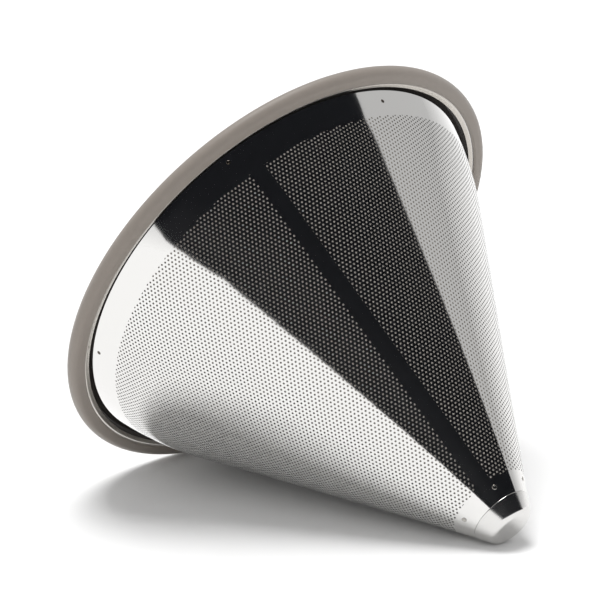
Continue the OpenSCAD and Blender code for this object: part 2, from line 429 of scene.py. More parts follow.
turn = add(sheet, "ShaderNodeMath", [xyz[0], xyz[1]], operation="ARCTAN2").outputs[0]
turn_off = add(sheet, "ShaderNodeMath", [turn], operation="ABSOLUTE").outputs[0]

# points of this panel only, a cell or less beyond the sheet's edges
low_limit = add(
    sheet, "ShaderNodeMath", [size["lower_edge"], size["pitch"]], operation="SUBTRACT"
).outputs[0]
high_limit = add(sheet, "ShaderNodeMath", [size["upper_edge"], size["pitch"]], operation="ADD").outputs[0]
keep = joined(sheet, "AND", [
    (slant, low_limit, "GREATER_THAN"), (slant, high_limit, "LESS_THAN"),
    (turn, size["turn_from"], "GREATER_EQUAL"), (turn, size["turn_to"], "LESS_THAN"),
])
drop = add(sheet, "FunctionNodeBooleanMath", [keep], operation="NOT").outputs[0]
lattice = add(sheet, "GeometryNodeDeleteGeometry", {"Geometry": lattice.outputs[0], "Selection": drop})

# a cell has a hole unless a border would leave less than a sliver of it
low_limit = add(
    sheet, "ShaderNodeMath", [size["lower_holes"], size["sliver"]], operation="SUBTRACT"
).outputs[0]
high_limit = add(sheet, "ShaderNodeMath", [size["upper_holes"], size["sliver"]], operation="ADD").outputs[0]
strip_sum = add(
    sheet, "ShaderNodeMath", [size["strip_left"], size["strip_right"]], operation="ADD"
).outputs[0]
strip_mid = add(sheet, "ShaderNodeMath", [strip_sum, 0.5], operation="MULTIPLY").outputs[0]
strip_w = add(sheet, "ShaderNodeMath", [size["strip_right"], strip_mid], operation="SUBTRACT").outputs[0]
strip_limit = add(sheet, "ShaderNodeMath", [strip_w, size["sliver"]], operation="SUBTRACT").outputs[0]
from_strip = add(sheet, "ShaderNodeMath", [xyz[0], strip_mid], operation="SUBTRACT").outputs[0]
off_strip = add(sheet, "ShaderNodeMath", [from_strip], operation="ABSOLUTE").outputs[0]
to_seam = add(sheet, "ShaderNodeMath", [size["seam_turn"], turn_off], operation="SUBTRACT").outputs[0]
to_seam = add(sheet, "ShaderNodeMath", [to_seam], operation="SINE").outputs[0]
to_seam = add(sheet, "ShaderNodeMath", [to_seam, slant], operation="MULTIPLY").outputs[0]
seam_limit = add(sheet, "ShaderNodeMath", [size["seam_margin"], hole_r], operation="ADD").outputs[0]
holed = joined(sheet, "AND", [
    (slant, low_limit, "GREATER_THAN"), (slant, high_limit, "LESS_THAN"),
    (off_strip, strip_limit, "GREATER_THAN"), (to_seam, seam_limit, "GREATER_THAN"),
])
unholed = add(sheet, "FunctionNodeBooleanMath", [holed], operation="NOT").outputs[0]
holed_cells = add(sheet, "GeometryNodeInstanceOnPoints",
                  {"Points": lattice.outputs[0], "Selection": holed, "Instance": cell.outputs[0]})
plain_cells = add(sheet, "GeometryNodeInstanceOnPoints",
                  {"Points": lattice.outputs[0], "Selection": unholed, "Instance": plain.outputs[0]})
cells = add(sheet, "GeometryNodeJoinGeometry")
sheet.links.new(holed_cells.outputs[0], cells.inputs[0])
sheet.links.new(plain_cells.outputs[0], cells.inputs[0])
cells = add(sheet, "GeometryNodeRealizeInstances", {"Geometry": cells.outputs[0]})
flat_face = add(sheet, "GeometryNodeMergeByDistance", {"Geometry": cells.outputs[0], "Distance": 0.01})

# faces wholly beyond the edges go, and what crosses a border is drawn back to it
beyond = joined(sheet, "OR", [
    (slant, size["lower_edge"], "LESS_THAN"), (slant, size["upper_edge"], "GREATER_THAN"),
    (turn_off, size["seam_turn"], "GREATER_THAN"),
])
flat_face = add(sheet, "GeometryNodeStoreNamedAttribute",
                {"Geometry": flat_face.outputs[0], "Name": "beyond", "Value": beyond}, data_type="BOOLEAN")
gone = add(sheet, "GeometryNodeInputNamedAttribute", {"Name": "beyond"}, data_type="BOOLEAN").outputs[0]
flat_face = add(sheet, "GeometryNodeDeleteGeometry",
                {"Geometry": flat_face.outputs[0], "Selection": gone}, domain="FACE", mode="ALL")
rim = add(sheet, "GeometryNodeInputNamedAttribute", {"Name": "hole_rim"}, data_type="BOOLEAN").outputs[0]
low = add(sheet, "GeometryNodeSwitch", [rim, size["lower_edge"], size["lower_holes"]],
          input_type="FLOAT").outputs[0]
high = add(sheet, "GeometryNodeSwitch", [rim, size["upper_edge"], size["upper_holes"]],
           input_type="FLOAT").outputs[0]
kept_slant = add(sheet, "ShaderNodeClamp", [slant, low, high]).outputs[0]
minus_seam = add(sheet, "ShaderNodeMath", [size["seam_turn"], -1.0], operation="MULTIPLY").outputs[0]
kept_turn = add(sheet, "ShaderNodeClamp", [turn, minus_seam, size["seam_turn"]]).outputs[0]
kept_sin = add(sheet, "ShaderNodeMath", [kept_turn], operation="SINE").outputs[0]
kept_cos = add(sheet, "ShaderNodeMath", [kept_turn], operation="COSINE").outputs[0]
kept_way = add(sheet, "ShaderNodeCombineXYZ", [kept_sin, kept_cos]).outputs[0]
kept = add(sheet, "ShaderNodeVectorMath", {0: kept_way, "Scale": kept_slant}, operation="SCALE").outputs[0]
flat_face = add(sheet, "GeometryNodeSetPosition", {"Geometry": flat_face.outputs[0], "Position": kept})
strip_side = add(sheet, "ShaderNodeMath", [from_strip], operation="SIGN").outputs[0]
strip_off = add(sheet, "ShaderNodeMath", [off_strip, strip_w], operation="MAXIMUM").outputs[0]
strip_x = add(
    sheet, "ShaderNodeMath", [strip_off, strip_side, strip_mid], operation="MULTIPLY_ADD"
).outputs[0]
strip_pos = add(sheet, "ShaderNodeCombineXYZ", [strip_x, xyz[1]]).outputs[0]
flat_face = add(sheet, "GeometryNodeSetPosition",
                {"Geometry": flat_face.outputs[0], "Selection": rim, "Position": strip_pos})

# the sheet's thickness, with the walls of the holes
down = add(sheet, "ShaderNodeMath", [size["thickness"], -1.0], operation="MULTIPLY").outputs[0]
below = add(sheet, "ShaderNodeCombineXYZ", {2: down}).outputs[0]
back = add(sheet, "GeometryNodeSetPosition", {"Geometry": flat_face.outputs[0], "Offset": below})
raised = add(sheet, "GeometryNodeExtrudeMesh",
             {"Mesh": back.outputs[0], "Offset": (0, 0, 1), "Offset Scale": size["thickness"],
              "Individual": False})
back = add(sheet, "GeometryNodeFlipFaces", {"Mesh": back.outputs[0]})
slab = add(sheet, "GeometryNodeJoinGeometry")
sheet.links.new(raised.outputs[0], slab.inputs[0])
sheet.links.new(back.outputs[0], slab.inputs[0])
slab = add(sheet, "GeometryNodeMergeByDistance", {"Geometry": slab.outputs[0], "Distance": 0.002})
face_way = add(sheet, "GeometryNodeInputNormal").outputs[0]
face_side = add(sheet, "ShaderNodeSeparateXYZ", [face_way]).outputs[2]
face_side = add(sheet, "ShaderNodeMath", [face_side], operation="ROUND").outputs[0]
slab = add(sheet, "GeometryNodeStoreNamedAttribute",
           {"Geometry": slab.outputs[0], "Name": "side", "Value": face_side},
           data_type="FLOAT", domain="FACE")
slab = add(sheet, "GeometryNodeStoreNamedAttribute",
           {"Geometry": slab.outputs[0], "Name": "flat", "Value": tree_pos},
           data_type="FLOAT2", domain="CORNER")

fold = add(sheet, "GeometryNodeInputMeshEdgeAngle").outputs[0]
is_fold = add(sheet, "FunctionNodeCompare", [fold, 0.8], operation="GREATER_THAN").outputs[0]
slab = add(sheet, "GeometryNodeSetShadeSmooth",
           {"Geometry": slab.outputs[0], "Selection": is_fold, "Shade Smooth": False}, domain="EDGE")

# rolling: straight below the bend, round the bend's arc above it, then round the axis
past = add(sheet, "ShaderNodeMath", [slant, BEND_SLANT], operation="SUBTRACT").outputs[0]
past = add(sheet, "ShaderNodeMath", [past, 0.0], operation="MAXIMUM").outputs[0]
angle = add(sheet, "ShaderNodeMath", [past, -1 / BEND_R, HALF_ANGLE], operation="MULTIPLY_ADD").outputs[0]
angle_cos = add(sheet, "ShaderNodeMath", [angle], operation="COSINE").outputs[0]
angle_sin = add(sheet, "ShaderNodeMath", [angle], operation="SINE").outputs[0]
outward = add(sheet, "ShaderNodeCombineXYZ", {0: angle_cos, 2: angle_sin}).outputs[0]
reach = add(sheet, "ShaderNodeMath", [xyz[2], BEND_R], operation="ADD").outputs[0]
arm = add(sheet, "ShaderNodeVectorMath", {0: outward, "Scale": reach}, operation="SCALE").outputs[0]
arm = add(
    sheet, "ShaderNodeVectorMath", [arm, (BEND_CENTRE[0], 0, BEND_CENTRE[1])], operation="ADD"
).outputs[0]
tail = add(sheet, "ShaderNodeMath", [slant, BEND_SLANT], operation="MINIMUM").outputs[0]
tail = add(sheet, "ShaderNodeMath", [BEND_SLANT, tail], operation="SUBTRACT").outputs[0]
along = (-math.sin(HALF_ANGLE), 0, math.cos(HALF_ANGLE))
tail = add(sheet, "ShaderNodeVectorMath", {0: along, "Scale": tail}, operation="SCALE").outputs[0]
section = add(sheet, "ShaderNodeVectorMath", [arm, tail], operation="ADD").outputs[0]
azimuth = add(sheet, "ShaderNodeMath", [turn, -1 / math.sin(HALF_ANGLE), FRONT_AZIMUTH],
              operation="MULTIPLY_ADD").outputs[0]
rolled_pos = add(
    sheet, "ShaderNodeVectorRotate", {"Vector": section, "Angle": azimuth}, rotation_type="Z_AXIS"
)
rolled_way = add(
    sheet, "ShaderNodeVectorRotate", {"Vector": outward, "Angle": azimuth}, rotation_type="Z_AXIS"
)
slab = add(sheet, "GeometryNodeStoreNamedAttribute",
           {"Geometry": slab.outputs[0], "Name": "way", "Value": rolled_way.outputs[0]},
           data_type="FLOAT_VECTOR")
slab = add(
    sheet, "GeometryNodeSetPosition", {"Geometry": slab.outputs[0], "Position": rolled_pos.outputs[0]}
)

# faces inside and outside shade as the true cone, and the hole walls as they are
way = add(sheet, "GeometryNodeInputNamedAttribute", {"Name": "way"}, data_type="FLOAT_VECTOR").outputs[0]
side = add(sheet, "GeometryNodeInputNamedAttribute", {"Name": "side"}, data_type="FLOAT").outputs[0]
wall_share = add(sheet, "ShaderNodeMath", [side], operation="ABSOLUTE").outputs[0]
wall_share = add(sheet, "ShaderNodeMath", [1.0, wall_share], operation="SUBTRACT").outputs[0]
face_normal = add(
    sheet, "GeometryNodeFieldOnDomain", [face_way], data_type="FLOAT_VECTOR", domain="FACE"
).outputs[0]
way = add(sheet, "ShaderNodeVectorMath", {0: way, "Scale": side}, operation="SCALE").outputs[0]
own = add(
    sheet, "ShaderNodeVectorMath", {0: face_normal, "Scale": wall_share}, operation="SCALE"
).outputs[0]
normal = add(sheet, "ShaderNodeVectorMath", [way, own], operation="ADD").outputs[0]
slab = add(sheet, "GeometryNodeSetMeshNormal", {"Mesh": slab.outputs[0], "Custom Normal": normal},
           mode="FREE", domain="CORNER")
slab = add(sheet, "GeometryNodeRealizeInstances", {"Geometry": slab.outputs[0]})

# Stainless sheet, electropolished after etching: an almost clear mirror that keeps a trace of the
# rolling grain and a slight waviness, so that reflected edges are crisp but not dead straight.
polished_sheet, tree, shader = material(
    "electropolished_stainless_sheet", {"Base Color": linear("#e3e2e0"), "Metallic": 1.0}
)
GRAIN_MM = 0.15
flat_at = add(tree, "ShaderNodeUVMap", uv_map="flat").outputs[0]
stretched = add(tree, "ShaderNodeMapping", {"Vector": flat_at, "Scale": (1 / GRAIN_MM, 0.04 / GRAIN_MM, 1)})
grain = add(tree, "ShaderNodeTexNoise", {"Vector": stretched.outputs[0], "Scale": 1.0, "Detail": 2.0})
rough = add(tree, "ShaderNodeMapRange",
            {"Value": grain.outputs[0], "From Min": 0.3, "From Max": 0.7, "To Min": 0.05, "To Max": 0.09})
tree.links.new(rough.outputs[0], shader.inputs["Roughness"])
waves = add(tree, "ShaderNodeTexNoise", {"Vector": flat_at, "Scale": 0.12, "Detail": 1.0})
wave_bump = add(tree, "ShaderNodeBump", {"Height": waves.outputs[0], "Distance": 0.00008, "Strength": 0.3})
tree.links.new(wave_bump.outputs[0], shader.inputs["Normal"])
slab = add(sheet, "GeometryNodeSetMaterial", {"Geometry": slab.outputs[0], "Material": polished_sheet})
add(sheet, "NodeGroupOutput", [slab.outputs[0]])

PANEL_OVERRUN = 0.05
bounds = spaced(-SEAM_TURN, SEAM_TURN, PANELS)
bounds[0] -= PANEL_OVERRUN
bounds[-1] += PANEL_OVERRUN
for number, (start, end) in enumerate(zip(bounds, bounds[1:]), 1):
    panel = grown(f"perforated_cone_{number}", sheet, turn_from=start, turn_to=end)
    for spare in ("hole_rim", "beyond", "side", "way"):
        layer = panel.data.attributes.get(spare)
        if layer:
            panel.data.attributes.remove(layer)
    panel.data.transform(LIE)
    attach(panel, "root")
    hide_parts("outer_cone")


# ------------------------------------------------------------------------- weld bead
# The butt joint of the perforated cone is welded from the rim to the tip and ground almost
# flush, which leaves a low bead with fine overlapping ripples.

BEAD_W = 1.0
BEAD_H = 0.08
RIPPLE_MM = 0.6
STEPS_A_RIPPLE = 4
bead_ends = (slant_of(85.7), slant_at(math.radians(17.9)))
bead_steps = STEPS_A_RIPPLE * round((bead_ends[1] - bead_ends[0]) / RIPPLE_MM)


def bead_depth(slant, share):
    """Depth of the bead's face: a low crown across it, with a saw tooth ripple along it."""
    ripple = (slant / RIPPLE_MM + 0.5 * share * share) % 1.0
    return -BEAD_H * (1 - share**2) * (0.7 + 0.3 * ripple)


bead = rolled(
    "cone_weld_bead",
    spaced(*bead_ends, bead_steps),
    lambda slant: [SEAM_TURN + x / slant for x in spaced(-BEAD_W / 2, BEAD_W / 2, 8)],
    bead_depth,
    0.02,
)

# Weld metal left by the torch and brushed over: greyer and duller than the sheet round it.
weld_metal, tree, shader = material("brushed_weld_metal", {"Metallic": 1.0})
tone_noise = add(tree, "ShaderNodeTexNoise", {"Scale": 900.0, "Detail": 3.0})
tint = add(
    tree, "ShaderNodeMix", {0: tone_noise.outputs[0], 6: linear("#a9a49c"), 7: linear("#d2d0cc")}, data_type="RGBA"
)
tree.links.new(tint.outputs[2], shader.inputs["Base Color"])
rough = add(tree, "ShaderNodeMapRange", {"Value": tone_noise.outputs[0], "To Min": 0.22, "To Max": 0.42})
tree.links.new(rough.outputs[0], shader.inputs["Roughness"])
bead.data.materials.append(weld_metal)
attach(bead, "root")
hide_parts("outer_seam")


# ------------------------------------------------------------------------- rim ring
# A stamped stainless ring. Its skirt is spot welded inside both cones, its groove runs round
# their edge, and its raised flange carries the silicone ring.

def rounded(corners, step=8):
    """An outline from (radius, level, rounding) corners, each rounding drawn as an arc."""
    outline = []
    for i, (x, y, radius) in enumerate(corners):
        here = Vector((x, y))
        back = (Vector(corners[i - 1][:2]) - here).normalized()
        ahead = (Vector(corners[(i + 1) % len(corners)][:2]) - here).normalized()
        if radius == 0:
            outline.append((x, y))
            continue
        half = back.angle(ahead) / 2
        centre = here + (back + ahead).normalized() * radius / math.sin(half)
        first = here + back * radius / math.tan(half) - centre
        last = here + ahead * radius / math.tan(half) - centre
        sweep = first.angle_signed(last)
        count = max(2, round(abs(math.degrees(sweep)) / step))
        for k in range(count + 1):
            point = centre + Matrix.Rotation(-sweep * k / count, 2) @ first
            outline.append((point.x, point.y))
    return outline


def turned(name, outline, sides=240):
    """A closed piece turned round the axis from an outline of (radius, level) points, with the
    radius to the right and the level upwards, taken anticlockwise. A point on the axis is a pole."""
    points, rings, faces = [], [], []
    for radius, level in outline:
        first = len(points)
        if radius < 1e-6:
            rings.append([first] * sides)
            points.append((0, 0, level))
            continue
        rings.append(list(range(first, first + sides)))
        for k in range(sides):
            way = 2 * math.pi * k / sides
            points.append((radius * math.cos(way), radius * math.sin(way), level))
    for one, two in zip(rings, rings[1:] + rings[:1]):
        for k in range(sides):
            n = (k + 1) % sides
            face = list(dict.fromkeys((one[k], one[n], two[n], two[k])))
            if len(face) > 2:
                faces.append(face)
    return lay_down(name, points, faces)


RIM_T = 0.6
SKIRT_T = 0.5
GROOVE_LEVEL = -1.2
FLANGE_IN = 57.8
FLANGE_OUT = 61.3
FLANGE_LEVEL = 0.95
CREST_R = 58.9
CREST_LEVEL = 1.45
CREST_W = 0.35
SKIRT_GAP = 0.05
skirt_depth = INNER_DEPTH + SKIRT_GAP
skirt_slants = [slant_at(math.radians(a)) for a in spaced(22.4, 17.0, 6)]
skirt_out = [wall(slant, skirt_depth)[:2] for slant in skirt_slants]
skirt_in = [wall(slant, skirt_depth + SKIRT_T)[:2] for slant in reversed(skirt_slants)]
groove_r = wall(TOP_SLANT, INNER_DEPTH)[0]
rim_corners = (
    [(r, s, 0.0) for r, s in skirt_in]
    + [(r, s, 0.0) for r, s in skirt_out]
    + [
        (groove_r, GROOVE_LEVEL, 0.0),
        (FLANGE_IN, GROOVE_LEVEL, 0.25),
        (FLANGE_IN, FLANGE_LEVEL, 0.3),
        (CREST_R, CREST_LEVEL, 0.2),
        (CREST_R + CREST_W, CREST_LEVEL - CREST_W, 0.0),
        (CREST_R + CREST_W, FLANGE_LEVEL, 0.0),
        (FLANGE_OUT, FLANGE_LEVEL, 0.1),
        (FLANGE_OUT, FLANGE_LEVEL - RIM_T, 0.1),
        (FLANGE_IN + RIM_T, FLANGE_LEVEL - RIM_T, 0.15),
        (FLANGE_IN + RIM_T, GROOVE_LEVEL - RIM_T, 0.5),
        (groove_r - RIM_T, GROOVE_LEVEL - RIM_T, 0.5),
    ]
)
rim_ring = turned("stamped_rim_ring", list(reversed(rounded(rim_corners))))

# Stamped stainless, tumbled: a soft satin with fine scratches that run round the ring.
tumbled_steel, tree, shader = material(
    "tumbled_stainless_steel", {"Base Color": linear("#c1bcb5"), "Metallic": 1.0}
)
scratches = add(tree, "ShaderNodeTexNoise", {"Scale": 700.0, "Detail": 3.0, "Roughness": 0.6})
rough = add(tree, "ShaderNodeMapRange", {"Value": scratches.outputs[0], "To Min": 0.14, "To Max": 0.3})
tree.links.new(rough.outputs[0], shader.inputs["Roughness"])
fine = add(tree, "ShaderNodeBump", {"Height": scratches.outputs[0], "Distance": 0.00001, "Strength": 0.25})
tree.links.new(fine.outputs[0], shader.inputs["Normal"])
rim_ring.data.materials.append(tumbled_steel)

# The groove's floor and walls are coloured dull and dark as painted shade, so that it reads as a narrow dark
# gap in shadow.
groove_painted_shade = material(
    "painted_shade_of_groove", {"Base Color": linear("#241f1b"), "Roughness": 0.8, "Specular IOR Level": 0.2}
)[0]
rim_ring.data.materials.append(groove_painted_shade)
axis_of = LIE.inverted()
# Faces in the groove take the painted shade.
for face in rim_ring.data.polygons:
    middle = axis_of @ face.center
    radius = math.hypot(middle.x, middle.y)
    if groove_r - 0.1 < radius < FLANGE_IN + 0.5 and middle.z > GROOVE_LEVEL - 0.1:
        face.material_index = 1
# Reflections leave out this ring and the silicone ring, which would draw a broad dark band on the
# mirror of the cone. This is for the look alone, and not something the real steel does.
rim_ring.visible_glossy = False
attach(rim_ring, "root")
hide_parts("rim_ring")


# ------------------------------------------------------------------------- tip cup
# A small drawn cup that is pressed into the end of the mesh, and that the lower spot welds hold.

CUP_T = 0.5
CUP_TOP = 82.6
CUP_FLOOR = 88.2


def wall_r(level, depth):
    """Radius of the straight wall at a level, depth under the outer face."""
    return WALL_R0 - level * math.tan(HALF_ANGLE) - depth / math.cos(HALF_ANGLE)


tip_cup = turned(
    "drawn_tip_cup",
    rounded([
        (0.0, CUP_FLOOR, 0.0),
        (wall_r(CUP_FLOOR, INNER_DEPTH + CUP_T), CUP_FLOOR, 0.6),
        (wall_r(CUP_TOP, INNER_DEPTH + CUP_T), CUP_TOP, 0.12),
        (wall_r(CUP_TOP, INNER_DEPTH), CUP_TOP, 0.12),
        (wall_r(CUP_FLOOR + CUP_T, INNER_DEPTH), CUP_FLOOR + CUP_T, 1.0),
        (0.0, CUP_FLOOR + CUP_T, 0.0),
    ]),
    sides=96,
)

# Drawn stainless, blasted with fine beads: an even satin that blurs what it reflects.
satin_steel, tree, shader = material(
    "bead_blasted_stainless_steel", {"Base Color": linear("#dbdad8"), "Metallic": 1.0}
)
grit = add(tree, "ShaderNodeTexNoise", {"Scale": 4500.0, "Detail": 2.0})
rough = add(tree, "ShaderNodeMapRange", {"Value": grit.outputs[0], "To Min": 0.11, "To Max": 0.18})
tree.links.new(rough.outputs[0], shader.inputs["Roughness"])
grain = add(tree, "ShaderNodeBump", {"Height": grit.outputs[0], "Distance": 0.000008, "Strength": 0.4})
tree.links.new(grain.outputs[0], shader.inputs["Normal"])
tip_cup.data.materials.append(satin_steel)
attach(tip_cup, "root")
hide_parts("tip_cup")


# ------------------------------------------------------------------------- spot welds
# Six spot welds near the rim join both cones to the ring's skirt, and six near the tip join them
# to the cup. Each one is the electrode's print: a low ridge round a shallow dimple.

def print_steel(name, dark, light, roughness):
    """Stainless pressed smooth by the electrode, in two tones that vary at random. A dark pair of tones is
    painted shade.
    """
    made, tree, shader = material(name, {"Metallic": 1.0, "Roughness": roughness})
    tone_noise = add(tree, "ShaderNodeTexNoise", {"Scale": 1500.0, "Detail": 2.0})
    tint = add(
        tree, "ShaderNodeMix", {0: tone_noise.outputs[0], 6: linear(dark), 7: linear(light)}, data_type="RGBA"
    )
    tree.links.new(tint.outputs[2], shader.inputs["Base Color"])
    return made


# The small welds near the rim are coloured a dark brown, painted shade that stands for the dark of their
# dimples. The larger ones near the tip were polished with the cone, so only their ridges catch the light.
weld_print_painted_shade = print_steel("dark_weld_print_painted_shade", "#3b3530", "#6f675e", 0.25)
polished_print = print_steel("polished_weld_print", "#a5a19b", "#c9c6c1", 0.14)

WELD_FACE = 0.01
welds = bpy.data.node_groups.new("spot_welds", "GeometryNodeTree")
size = inputs_of(welds, radius=0.7, ridge=0.08, wall_radius=9.0)
button = add(welds, "GeometryNodeMeshCone",
             {"Vertices": 20, "Side Segments": 6, "Radius Top": 0.0, "Radius Bottom": size["radius"],
              "Depth": 0.05},
             fill_type="NGON")
here = add(welds, "GeometryNodeInputPosition").outputs[0]
xyz = add(welds, "ShaderNodeSeparateXYZ", [here]).outputs
in_plane = add(welds, "ShaderNodeVectorMath", [here, (1, 1, 0)], operation="MULTIPLY").outputs[0]
off_middle = add(welds, "ShaderNodeVectorMath", [in_plane], operation="LENGTH").outputs["Value"]
share = add(welds, "ShaderNodeMath", [off_middle, size["radius"]], operation="DIVIDE").outputs[0]
ridge_at = add(welds, "ShaderNodeMath", [share, 0.68], operation="SUBTRACT").outputs[0]
ridge_at = add(welds, "ShaderNodeMath", [ridge_at, 3.2], operation="MULTIPLY").outputs[0]
ridge_at = add(welds, "ShaderNodeMath", [ridge_at, 2.0], operation="POWER").outputs[0]
crown = add(welds, "ShaderNodeMath", [1.0, ridge_at], operation="SUBTRACT").outputs[0]
crown = add(welds, "ShaderNodeMath", [crown, 0.0], operation="MAXIMUM").outputs[0]
crown = add(welds, "ShaderNodeMath", [crown, size["ridge"], WELD_FACE], operation="MULTIPLY_ADD").outputs[0]
sag = add(welds, "ShaderNodeMath", [xyz[0], xyz[0]], operation="MULTIPLY").outputs[0]
sag = add(welds, "ShaderNodeMath", [sag, size["wall_radius"]], operation="DIVIDE").outputs[0]
crown = add(welds, "ShaderNodeMath", [sag, -0.5, crown], operation="MULTIPLY_ADD").outputs[0]
face = add(welds, "ShaderNodeCombineXYZ", [xyz[0], xyz[1], crown]).outputs[0]
is_top = add(welds, "FunctionNodeCompare", [xyz[2], 0.001], operation="GREATER_THAN").outputs[0]
button = add(welds, "GeometryNodeSetPosition",
             {"Geometry": button.outputs[0], "Selection": is_top, "Position": face})
weld_way = add(
    welds, "GeometryNodeInputNamedAttribute", {"Name": "way"}, data_type="FLOAT_VECTOR"
).outputs[0]
weld_side = add(
    welds, "GeometryNodeInputNamedAttribute", {"Name": "beside"}, data_type="FLOAT_VECTOR"
).outputs[0]
turned_up = add(
    welds, "FunctionNodeAxesToRotation", [weld_way, weld_side], primary_axis="Z", secondary_axis="X"
)
group_in = next(n for n in welds.nodes if n.bl_idname == "NodeGroupInput").outputs[0]
placed = add(welds, "GeometryNodeInstanceOnPoints",
             {"Points": group_in, "Instance": button.outputs[0], "Rotation": turned_up.outputs[0]})
placed = add(welds, "GeometryNodeRealizeInstances", {"Geometry": placed.outputs[0]})
placed = add(welds, "GeometryNodeSetShadeSmooth", {"Geometry": placed.outputs[0]})
# Every print starts in the dark colour of painted shade, and the lower ones are given the polished one
# below.
placed = add(welds, "GeometryNodeSetMaterial", {"Geometry": placed.outputs[0], "Material": weld_print_painted_shade})
add(welds, "NodeGroupOutput", [placed.outputs[0]])


def weld_points(name, azimuths, slants):
    """Loose points on the wall, with the wall's outward way and the way round the axis at each."""
    mesh = bpy.data.meshes.new(name)
    points, ways, sides = [], [], []
    for azimuth, slant in zip(azimuths, slants):
        radius, level, angle = wall(slant)
        c, s = math.cos(math.radians(azimuth)), math.sin(math.radians(azimuth))
        points.append((radius * c, radius * s, level))
        ways.append((math.cos(angle) * c, math.cos(angle) * s, math.sin(angle)))
        sides.append((-s, c, 0.0))
    mesh.from_pydata(points, [], [])
    for title, values in (("way", ways), ("beside", sides)):
        layer = mesh.attributes.new(title, "FLOAT_VECTOR", "POINT")
        layer.data.foreach_set("vector", [v for way in values for v in way])
    return bpy.data.objects.new(name, mesh)


def bend_slant(level):
    """Distance from the apex, along the bent wall, of a level."""
    return slant_at(math.asin((level - BEND_CENTRE[1]) / BEND_R))


# Azimuth and level of each upper weld, and azimuth of each lower one. They repeat the CAD's, where
# the front three of each row were worked out by a separate script and the rest spaced by hand.
UPPER_WELDS = [(178.03, 3.16), (-136.55, 1.95), (-74.36, 1.87), (-12.5, 2.4), (51.7, 2.1), (115.9, 2.3)]
LOWER_WELDS = [-148.86, -80.96, -23.8, 33.3, 90.5, 147.64]
LOWER_LEVEL = 84.5
for name, node, azimuths, slants, sizes in (
    ("upper_spot_weld_prints", "upper_spot_welds",
     [a for a, _ in UPPER_WELDS], [bend_slant(level) for _, level in UPPER_WELDS],
     {"radius": 0.5, "ridge": 0.06, "wall_radius": 55.0}),
    ("lower_spot_weld_prints", "lower_spot_welds",
     LOWER_WELDS, [slant_of(LOWER_LEVEL)] * len(LOWER_WELDS),
     {"radius": 0.6, "ridge": 0.08, "wall_radius": 9.3}),
):
    prints = grown(name, welds, weld_points(name, azimuths, slants), **sizes)
    if node == "lower_spot_welds":
        for k in range(len(prints.data.materials)):
            prints.data.materials[k] = polished_print
    prints.data.transform(LIE)
    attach(prints, "root")
    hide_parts(node)


# ------------------------------------------------------------------------- tip cap
# A drawn cap pressed over the end of the mesh up to the edge of the perforated cone, with a
# rounded edge and a flat end. The dripper rests on it.

CAP_PROUD = 0.19
CAP_T = 0.48
CAP_EDGE = 1.89
CAP_START = 87.18
cap_depth = CAP_T - CAP_PROUD * math.cos(HALF_ANGLE)
tip_cap = turned(
    "drawn_tip_cap",
    rounded([
        (0.0, TIP_LEVEL - CAP_T, 0.0),
        (wall_r(TIP_LEVEL - CAP_T, cap_depth), TIP_LEVEL - CAP_T, CAP_EDGE - CAP_T),
        (wall_r(CAP_START, cap_depth), CAP_START, 0.06),
        (wall_r(CAP_START, 0) + CAP_PROUD, CAP_START, 0.12),
        (wall_r(TIP_LEVEL, 0) + CAP_PROUD, TIP_LEVEL, CAP_EDGE),
        (0.0, TIP_LEVEL, 0.0),
    ], step=5),
    sides=144,
)
tip_cap.data.materials.append(satin_steel)
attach(tip_cap, "root")
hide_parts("tip_cap")


# ------------------------------------------------------------------------- silicone ring
# A soft moulded ring with a slot all round its inside, stretched over the flange. It is the seat
# on the carafe, and it stays put by its own tension.

RING_R = 63.0
RING_EDGE = 1.89
LIP_R = 59.3
LIP_LEVEL = 1.67
SEAT_R = 59.8
BACK_R = 58.7
SLOT_PLAY = 0.02
slot_low = FLANGE_LEVEL - RIM_T - SLOT_PLAY
slot_high = FLANGE_LEVEL + SLOT_PLAY
silicone_ring = turned(
    "silicone_seat_ring",
    rounded([
        (BACK_R, -RING_EDGE, 0.35),
        (RING_R, -RING_EDGE, RING_EDGE - 0.001),
        (RING_R, RING_EDGE, RING_EDGE - 0.001),
        (SEAT_R, RING_EDGE, 0.5),
        (LIP_R, LIP_LEVEL, 0.12),
        (LIP_R, slot_high, 0.08),
        (FLANGE_OUT + SLOT_PLAY, slot_high, 0.1),
        (FLANGE_OUT + SLOT_PLAY, slot_low, 0.1),
        (BACK_R, slot_low, 0.1),
    ]),
    sides=288,
)

# Moulded food grade silicone in taupe: matte, faintly waxy, with a fine dry bloom from the mould.
silicone, tree, shader = material("moulded_taupe_silicone", {"IOR": 1.41, "Sheen Weight": 0.2})
bloom = add(tree, "ShaderNodeTexNoise", {"Scale": 60.0, "Detail": 4.0})
tint = add(tree, "ShaderNodeMix",
           {0: bloom.outputs[0], 6: linear("#867e76"), 7: linear("#8e857d")}, data_type="RGBA")
tree.links.new(tint.outputs[2], shader.inputs["Base Color"])
pores = add(tree, "ShaderNodeTexNoise", {"Scale": 2500.0, "Detail": 2.0})
skin = add(tree, "ShaderNodeBump", {"Height": pores.outputs[0], "Distance": 0.00003, "Strength": 0.3})
tree.links.new(skin.outputs[0], shader.inputs["Normal"])
rough = add(tree, "ShaderNodeMapRange", {"Value": bloom.outputs[0], "To Min": 0.42, "To Max": 0.55})
tree.links.new(rough.outputs[0], shader.inputs["Roughness"])
silicone_ring.data.materials.append(silicone)
silicone_ring.visible_glossy = False
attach(silicone_ring, "root")
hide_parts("silicone_ring")


# ------------------------------------------------------------------------- studio
# A white table under an even white surround with one broad soft light overhead. A tall black card
# stands upright beside the dripper. It is seen only in the steel, where it draws the dark wedge.

